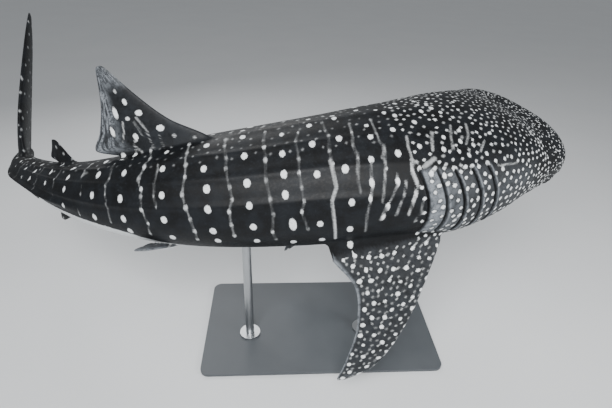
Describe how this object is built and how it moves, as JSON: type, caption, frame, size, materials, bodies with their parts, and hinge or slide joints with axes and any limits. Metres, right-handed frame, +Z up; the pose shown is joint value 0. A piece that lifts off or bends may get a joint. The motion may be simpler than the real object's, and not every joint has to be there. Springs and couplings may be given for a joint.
{
  "type": "whale shark display model",
  "caption": "Life-size whale shark swimming in a gentle bend, with broad flat head, gill slits, spotted skin and swept tail, held over a flat base by rods.",
  "frame": {"origin": "centre of the underside of the stand's base, under the shark's centre of mass", "axes": "+X towards the head, -Y towards the shark's right side, +Z up"},
  "size_m": [5.7508, 3.0126, 3.0426],
  "materials": {
    "skin": "damp satin skin, near-black grey with off-white spots and bars, white belly",
    "eye": "wet black",
    "stand_base": "fine-grained satin paint",
    "stand_rod": "brushed",
    "stand_pad": "matte"
  },
  "bodies": {
    "root": {"head": "skin", "lower_jaw": "skin", "gill_region": "skin", "trunk_front": "skin", "trunk_middle": "skin", "trunk_rear": "skin", "tail_stock": "skin", "first_dorsal_fin": "skin", "second_dorsal_fin": "skin", "anal_fin": "skin", "pectoral_fin_right": "skin", "pectoral_fin_left": "skin", "pelvic_fin_right": "skin", "pelvic_fin_left": "skin", "tail_fin_upper": "skin", "tail_fin_lower": "skin", "eye_right": "eye", "eye_left": "eye", "stand_base": "stand_base", "stand_rod_front": "stand_rod", "stand_rod_rear": "stand_rod", "stand_pad_front": "stand_pad", "stand_pad_rear": "stand_pad"}
  },
  "joints": []
}
